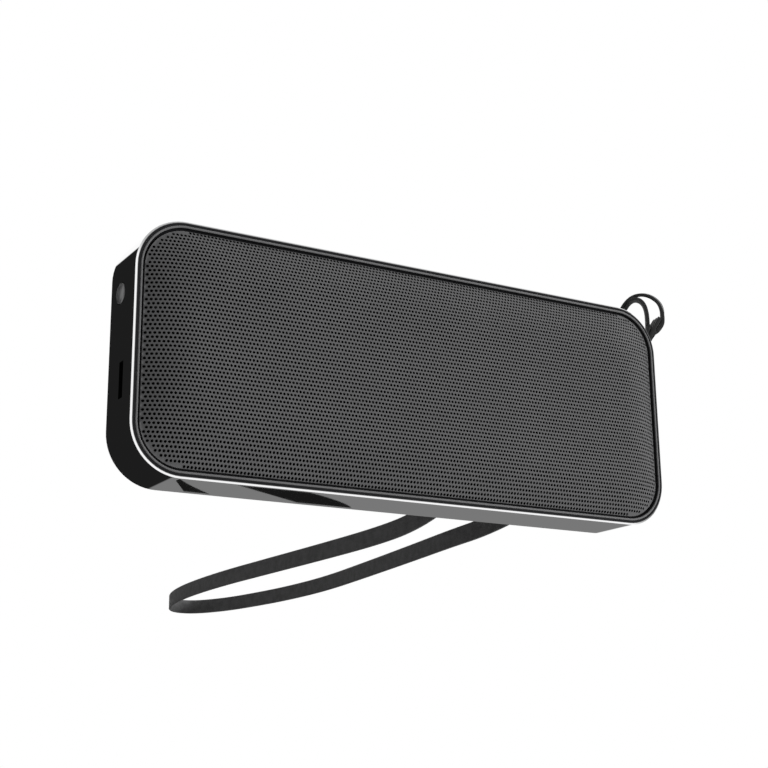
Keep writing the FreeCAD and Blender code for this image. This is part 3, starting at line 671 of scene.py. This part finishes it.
def grille_pieces():
    """The stamped sheet with its rolled rim, and the walls of its holes."""
    cells = hole_places()
    bricks = set()
    points, faces, index = [], [], {}

    def corner(column, row_edge):
        """Shared corner of the cells; row_edge counts the lines between rows."""
        key = (column, row_edge)
        if key not in index:
            x, z = column * hole_pitch / 2, (row_edge - 0.5) * hole_row
            index[key] = len(points)
            points.append((x, z))
        return index[key]

    turns = [2 * math.pi * k / hole_sides for k in range(hole_sides)]
    hole_loops, loose_loops, borders = [], [], {}
    for row, column in sorted(cells):
        x, z = column * hole_pitch / 2, row * hole_row
        hole = list(range(len(points), len(points) + hole_sides))
        points += [(x + hole_radius * math.cos(a), z + hole_radius * math.sin(a)) for a in turns]
        hole_loops.append(hole)
        reach_x, reach_z = abs(x) + hole_pitch / 2, abs(z) + hole_row / 2
        if inset_of(reach_x, reach_z) < rim_inset + 0.05 * MM:
            loose_loops.append(hole)
            continue
        bricks.add((row, column))
        rim = [corner(column + 1, row), corner(column + 1, row + 1), corner(column, row + 1),
               corner(column - 1, row + 1), corner(column - 1, row), corner(column, row)]
        h, b = hole, rim
        faces += [(h[0], b[0], b[1]), (h[0], b[1], h[1]), (h[1], b[1], b[2]), (h[1], b[2], h[2]),
                  (h[2], b[2], h[3]), (h[3], b[2], b[3]), (h[3], b[3], h[4]), (h[4], b[3], b[4]),
                  (h[4], b[4], h[5]), (h[5], b[4], b[5]), (h[5], b[5], h[6]), (h[6], b[5], h[7]),
                  (h[7], b[5], b[0]), (h[7], b[0], h[0])]
        for start, end in zip(rim, rim[1:] + rim[:1]):
            if (end, start) in borders:
                del borders[(end, start)]
            else:
                borders[(start, end)] = True
    half_sizes = grille_half_width - rim_inset, grille_half_height - rim_inset
    edge = outline(*half_sizes, grille_corner, *grille_steps)
    edge_start = len(points)
    points += edge
    edge_ring = list(range(edge_start, len(points)))
    faces += border_faces(points, borders, [edge_ring] + loose_loops, bricks, cells)
    placed = [(x, dome(x, z), z + middle_height) for x, z in points]
    rings = [edge_ring]
    lip = dome(grille_half_width - rim_inset, 0)
    profile = ((0.20, 0.10), (0.07, 0.24), (0.0, 0.5), (0.0, 2.55), (0.7, 2.55), (0.7, 0.95))
    for inset, back in profile:
        half_sizes = grille_half_width - inset * MM, grille_half_height - inset * MM
        ring = outline(*half_sizes, grille_corner, *grille_steps)
        rings.append(list(range(len(placed), len(placed) + len(ring))))
        placed += [(x, lip + back * MM, z + middle_height) for x, z in ring]
    faces += loop_faces(rings)
    sheet = make_piece("front_grille_sheet", placed, faces, ["grille_metal"])
    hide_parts("front_grille")
    wall_points, wall_faces = [], []
    for hole in hole_loops:
        start = len(wall_points)
        wall_points += [placed[i] for i in hole]
        wall_points += [(placed[i][0], placed[i][1] + sheet_thickness, placed[i][2]) for i in hole]
        for k in range(hole_sides):
            j = (k + 1) % hole_sides
            wall_faces.append((start + j, start + k, start + hole_sides + k, start + hole_sides + j))
    # Hole walls take the near-black painted shade of the holes.
    walls = make_piece("front_grille_hole_walls", wall_points, wall_faces, ["grille_holes"])


def border_faces(points, borders, loops, bricks, cells):
    """Fills the strip between the whole cells and the sheet's outline, around the holes in it."""
    used = sorted({i for pair in borders for i in pair} | {i for loop in loops for i in loop})
    local = {i: k for k, i in enumerate(used)}
    edges = [(local[a], local[b]) for a, b in borders]
    for loop in loops:
        edges += [(local[a], local[b]) for a, b in zip(loop, loop[1:] + loop[:1])]
    flat = [Vector((points[i][0] / MM, points[i][1] / MM)) for i in used]
    found, _, triangles, origins, _, _ = delaunay_2d_cdt(flat, edges, [], 1, 1e-6)
    faces = []
    for triangle in triangles:
        x = sum(found[i].x for i in triangle) / 3 * MM
        z = sum(found[i].y for i in triangle) / 3 * MM
        row = round(z / hole_row)
        column = 2 * round((x / hole_pitch * 2 - row % 2) / 2) + row % 2
        from_centre = math.hypot(x - column * hole_pitch / 2, z - row * hole_row)
        in_hole = (row, column) in cells and from_centre < 0.9 * hole_radius
        if (row, column) in bricks or in_hole or inset_of(x, z) < rim_inset:
            continue
        faces.append(tuple(used[origins[i][0]] for i in triangle))
    return faces


# ---- front rim ----------------------------------------------------------------------
def front_rim():
    """Black rim with a half-round bead in grey, a painted highlight, swept round the outline; depths are
    behind the front plane.
    """
    flat_rim = [(0.62, 1.15), (0.62, 0.10), (0.67, 0.02), (0.75, 0.0), (1.30, 0.0), (1.36, 0.05),
                (1.40, 0.14)]
    bead = [(1.42, 0.10), (1.46, -0.08), (1.54, -0.20), (1.66, -0.28), (1.90, -0.28), (2.04, -0.20),
            (2.14, -0.08), (2.18, 0.10)]
    inner = [(2.21, 0.45), (2.24, 1.18), (2.8, 1.2), (2.8, 3.2), (4.85, 3.2), (4.85, 4.4), (1.77, 4.4),
             (1.77, 1.2)]
    rings, points, faces, face_paints = [], [], [], []
    profile = flat_rim + bead + inner
    for inset, depth in profile:
        sizes = [size - inset * MM for size in (half_width, half_height, corner_radius)]
        ring = outline(*sizes, *rim_steps)
        rings.append(list(range(len(points), len(points) + len(ring))))
        points += [(x, band_low.y + depth * MM, z + middle_height) for x, z in ring]
    # Bead faces take the grey painted highlight.
    bead_range = range(len(flat_rim), len(flat_rim) + len(bead) - 1)
    for k in range(len(rings)):
        first, second = rings[k], rings[(k + 1) % len(rings)]
        for i in range(len(first)):
            j = (i + 1) % len(first)
            faces.append((first[j], first[i], second[i], second[j]))
            face_paints.append(1 if k in bead_range else 0)
    rim = make_piece("front_rim", points, faces, ["rim_black", "rim_bead"], face_paints=face_paints)
    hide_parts("front_bezel")


# ---- strap --------------------------------------------------------------------------
def strap_route():
    """Control points of the strap's line, in millimetres: a curl above the body's corner, down behind
    the body, round on the surface and back."""
    return [
        (110.1, 1.9, 76.3), (113.8, 1.9, 79.0), (116.3, 2.2, 84.6), (116.9, 3.5, 90), (114.8, 5.5, 93.3),
        (111.9, 8, 94.7), (109.4, 11, 94.1), (107.9, 14, 91.6), (107.2, 16.8, 87.6), (104.8, 18.6, 80),
        (99, 19.6, 68), (91, 20.5, 50), (80, 23.5, 27), (68, 31, 11), (60, 44, 5.4),
        (56.3, 61, 3.4), (61.5, 95, 3.4), (68.5, 145, 3.4), (74.8, 195, 3.4), (74.5, 235, 3.4),
        (71, 264, 3.4), (66.3, 288, 3.4), (56.5, 306.5, 3.4), (43.5, 304, 3.4), (33.5, 282, 3.4),
        (27, 248, 3.4), (24.8, 203, 3.4), (26.3, 158, 3.4), (28, 112, 3.4), (28.6, 72, 3.4),
        (29.5, 48, 4.6), (34, 36, 9.5), (46, 29, 22), (61, 25, 38), (78, 22, 56),
        (93, 19.6, 70), (103, 18.3, 79.5), (108, 16, 88.2), (109, 10.8, 92.7), (109.4, 5.2, 90.2),
        (109, 2.4, 84.2), (108.2, 1.9, 78.6),
    ]


def spline_line(route):
    """Points along the smooth curve that the control points make."""
    curve = bpy.data.curves.new("strap_line", "CURVE")
    curve.dimensions = "3D"
    spline = curve.splines.new("NURBS")
    spline.points.add(len(route) - 1)
    for point, place in zip(spline.points, route):
        point.co = (*(c * MM for c in place), 1)
    spline.order_u = 3
    spline.use_endpoint_u = True
    spline.resolution_u = 10
    holder = link(bpy.data.objects.new("strap_line", curve))
    bpy.context.view_layer.update()
    mesh = bpy.data.meshes.new_from_object(holder.evaluated_get(bpy.context.evaluated_depsgraph_get()))
    line = [vertex.co.copy() for vertex in mesh.vertices]
    bpy.data.objects.remove(holder)
    bpy.data.curves.remove(curve)
    bpy.data.meshes.remove(mesh)
    return line


def smooth_share(value, start, end):
    """Runs from 0 at the start to 1 at the end with soft ends."""
    share = min(1.0, max(0.0, (value - start) / (end - start)))
    return share * share * (3 - 2 * share)


def loop_width_direction(place, travelled):
    """Across the free strap: turned at the tab, level in the curl, upright where it lies down."""
    curled = tab_direction.lerp(outer_curl_direction, smooth_share(travelled, 4 * MM, 14 * MM))
    curled = curled.lerp(inner_curl_direction, smooth_share(travelled, 100 * MM, 700 * MM))
    return curled.lerp(Vector((0, 0, 1)), smooth_share(place.z, strap_turned_above, strap_upright_below))


def ribbon(line, directions, width, thickness):
    """Rings of a flat band along the line; each direction says which way its width lies."""
    section = outline(width / 2, thickness / 2, strap_rounding, *strap_steps)
    points, rings = [], []
    for k, place in enumerate(line):
        tangent = (line[min(k + 1, len(line) - 1)] - line[max(k - 1, 0)]).normalized()
        across = (directions[k] - tangent * directions[k].dot(tangent)).normalized()
        through = tangent.cross(across)
        rings.append(list(range(len(points), len(points) + len(section))))
        points += [place + across * w + through * t for w, t in section]
    limit = width / 2 - strap_rounding * 0.75
    on_edge = [abs(w) >= limit for w, t in section]
    side_paints = [int(on_edge[i] and on_edge[(i + 1) % len(section)]) for i in range(len(section))]
    faces = loop_faces(rings) + [tuple(reversed(rings[0])), tuple(rings[-1])]
    face_paints = side_paints * (len(rings) - 1) + [1, 1]
    return points, faces, face_paints


def strap_band():
    line = spline_line(strap_route())
    travelled = [0.0]
    for before, after in zip(line, line[1:]):
        travelled.append(travelled[-1] + (after - before).length)
    directions = [loop_width_direction(place, gone) for place, gone in zip(line, travelled)]
    points, faces, face_paints = ribbon(line, directions, strap_width, strap_thickness)
    band = make_piece("strap_band", points, faces, ["strap_leather", "strap_edge"], face_paints=face_paints)
    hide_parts("strap_loop")
    strap_end()


def strap_end():
    """The end of the strap: two legs from the pin, and the notched tail that is sewn to the outer leg."""
    pin = Vector((96.85, 1.9, 58.0))
    reach = 1.8
    around = [pin + Vector((math.cos(a), 0, math.sin(a))) * reach for a in (5.0, 4.2, 3.4, 2.6, 1.9)]
    outer_leg = [(110.1, 1.9, 76.3), (107.0, 1.9, 72.6), (104.7, 1.9, 68.0), (102.9, 1.9, 62.2),
                 (100.4, 1.9, 57.6)]
    inner_leg = [(100.0, 1.9, 61.6), (102.2, 1.9, 65.6), (104.2, 1.9, 70.4), (106.4, 1.9, 74.8),
                 (108.2, 1.9, 78.6)]
    route = outer_leg + [tuple(place) for place in around] + inner_leg
    line = spline_line(route)
    directions = []
    for k, place in enumerate(line):
        wanted = tab_direction if k < len(line) / 2 else inner_curl_direction
        directions.append(pin_direction.lerp(wanted, smooth_share(place.x, 100 * MM, 108 * MM)))
    legs = ribbon(line, directions, strap_width, strap_thickness)
    tail_line = spline_line([(102.8, 1.9, 63.0), (105.0, 1.9, 68.6), (107.6, 1.7, 74.4), (110.2, 1.6, 78.8),
                             (112.4, 1.7, 81.8)])
    turned = [pin_direction.lerp(tail_direction, smooth_share(p.x, 100 * MM, 108 * MM)) for p in tail_line]
    tail = notched(*ribbon(tail_line, turned, strap_width, strap_thickness))
    points, faces, face_paints = legs
    shift = len(points)
    faces = faces + [tuple(i + shift for i in face) for face in tail[1]]
    piece = make_piece("strap_tab_band", points + tail[0], faces, ["strap_leather", "strap_edge"],
                       face_paints=face_paints + tail[2])
    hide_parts("strap_tab")
    return piece


def notched(points, faces, face_paints):
    """Cuts the band's last end into three points by drawing some of its end columns back."""
    count = len(outline(strap_width / 2, strap_thickness / 2, strap_rounding, *strap_steps))
    last, before = points[-count:], points[-2 * count:-count]
    along = (last[0] - before[0]).normalized()
    middle = sum(last, Vector()) / count
    across = (last[0] - last[count // 2]).normalized()
    for i in range(count):
        share = (last[i] - middle).dot(across) / strap_width + 0.5
        wave = abs((share * 3) % 1.0 - 0.5) * 2
        points[len(points) - count + i] = last[i] + along * (tooth_length * (1 - wave) + end_slant * share)
    return points, faces, face_paints


# ---- button, keys and flap ------------------------------------------------------------
def rounded(mesh_object, width):
    """Softens the sharp edges with a small bevel."""
    bevel = mesh_object.modifiers.new("soft_edges", "BEVEL")
    bevel.width = width
    bevel.segments = 3
    bevel.limit_method = "ANGLE"
    bevel.angle_limit = math.radians(40)


def power_button_cap():
    """Domed cap turned about X, with its flange and its stem towards the switch."""
    centre_y, centre_z, stem_y = 2.3, 57.7, 0.9
    cap = [(0.02, -101.25), (0.8, -101.22), (1.6, -101.11), (2.2, -100.95), (2.7, -100.77), (2.96, -100.65),
           (3.12, -100.47), (3.2, -100.23), (3.2, -98.27), (3.5, -98.25), (3.5, -97.45), (0.02, -97.45)]
    stem = [(0.02, -97.7), (0.8, -97.7), (0.8, -95.15), (0.65, -95.0), (0.02, -95.0)]
    points, faces = [], []
    for profile, y in ((cap, centre_y), (stem, stem_y)):
        rings = []
        for radius, x in profile:
            turns = [2 * math.pi * k / 48 for k in range(48)]
            rings.append(list(range(len(points), len(points) + len(turns))))
            points += [(x * MM, (y + radius * math.cos(a)) * MM, (centre_z + radius * math.sin(a)) * MM)
                       for a in turns]
        faces += loop_faces(rings) + [tuple(rings[0]), tuple(reversed(rings[-1]))]
    button = make_piece("power_button_cap", points, faces, ["button_grey"], body="power_button_body")
    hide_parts("power_button")


def block_stack(levels, half_x, half_y, radius, centre):
    """Rounded upright block whose outline grows by each level's offset at each level's height."""
    points, rings = [], []
    for offset, height in levels:
        ring = outline(half_x + offset, half_y + offset, max(0.15, radius + offset), 5, 4, 3)
        rings.append(list(range(len(points), len(points) + len(ring))))
        points += [(centre[0] + x, centre[1] + y, height) for x, y in ring]
    faces = loop_faces(rings) + [tuple(reversed(rings[0])), tuple(rings[-1])]
    return points, faces


def joined(parts):
    """One list of points and faces, in metres, from several in millimetres."""
    points, faces = [], []
    for part_points, part_faces in parts:
        shift = len(points)
        points += [tuple(c * MM for c in place) for place in part_points]
        faces += [tuple(i + shift for i in face) for face in part_faces]
    return points, faces


def key_symbol(kind, x, y):
    """Raised generic minus, triangle or plus."""
    low, high = 80.15, 80.44
    levels = ((0, low), (0, high - 0.08), (-0.08, high))
    across = block_stack(levels, 1.3, 0.26, 0.2, (x, y))
    along = block_stack(levels, 0.26, 1.3, 0.2, (x, y))
    if kind == "minus":
        return [across]
    if kind == "plus":
        return [across, along]
    tip = [(x - 0.9, y - 1.15), (x + 1.25, y), (x - 0.9, y + 1.15)]
    middle = (x - 0.2, y)
    triangle = []
    for offset, height in levels:
        share = 1 + offset
        triangle += [(middle[0] + (px - middle[0]) * share, middle[1] + (py - middle[1]) * share, height)
                     for px, py in tip]
    sides = [(3 * k + i, 3 * k + (i + 1) % 3, 3 * k + 3 + (i + 1) % 3, 3 * k + 3 + i)
             for k in range(2) for i in range(3)]
    return [(triangle, sides + [(2, 1, 0), (6, 7, 8)])]


def key_caps():
    cap = ((0, 76.9), (0, 79.7), (-0.06, 79.95), (-0.22, 80.13), (-0.5, 80.23), (-1.2, 80.3))
    flange = ((0, 76.9), (0, 77.64), (-0.06, 77.7))
    stem = ((0, 74.6), (0, 77.0))
    y = 1.5
    keys = (("volume_down", "minus", -14.0), ("play", "triangle", 0.0), ("volume_up", "plus", 14.0))
    for name, kind, x in keys:
        parts = [block_stack(cap, 4.5, 2.5, 1.2, (x, y)), block_stack(flange, 5.6, 3.6, 1.2, (x, y)),
                 block_stack(stem, 0.95, 0.65, 0.2, (x, 2.1))] + key_symbol(kind, x, y)
        points, faces = joined(parts)
        piece = make_piece(f"{name}_key_cap", points, faces, ["key_rubber"], body=f"{name}_body")
        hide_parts(f"{name}_key")


def port_flap_skin():
    """Soft door with a knuckle at its foot and a finger notch at its head."""
    hinge_x, hinge_z, knuckle = 99.55, 18.6, 0.84
    turns = [math.radians(a) for a in range(90, 361, 18)]
    side = [(hinge_x + knuckle * math.cos(a), hinge_z + knuckle * math.sin(a)) for a in turns]
    side += [(100.41, 21.0), (100.45, 24.0), (100.45, 42.2), (99.7, 42.5), (99.7, 44.2), (98.75, 44.2),
             (98.75, 19.5)]
    points, faces = [], []
    start, end = -1.7, 4.9
    for y in (start, end):
        points += [(x * MM, y * MM, z * MM) for x, z in side]
    count = len(side)
    faces = [(i, (i + 1) % count, count + (i + 1) % count, count + i) for i in range(count)]
    faces += [tuple(reversed(range(count))), tuple(range(count, 2 * count))]
    flap = make_piece("port_flap_skin", points, faces, ["flap_rubber"], body="port_flap_body")
    rounded(flap, 0.3 * MM)
    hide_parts("port_flap")


make_camera()
make_stage()
strap_band()
dress_frame()
front_rim()
grille_pieces()
power_button_cap()
key_caps()
port_flap_skin()
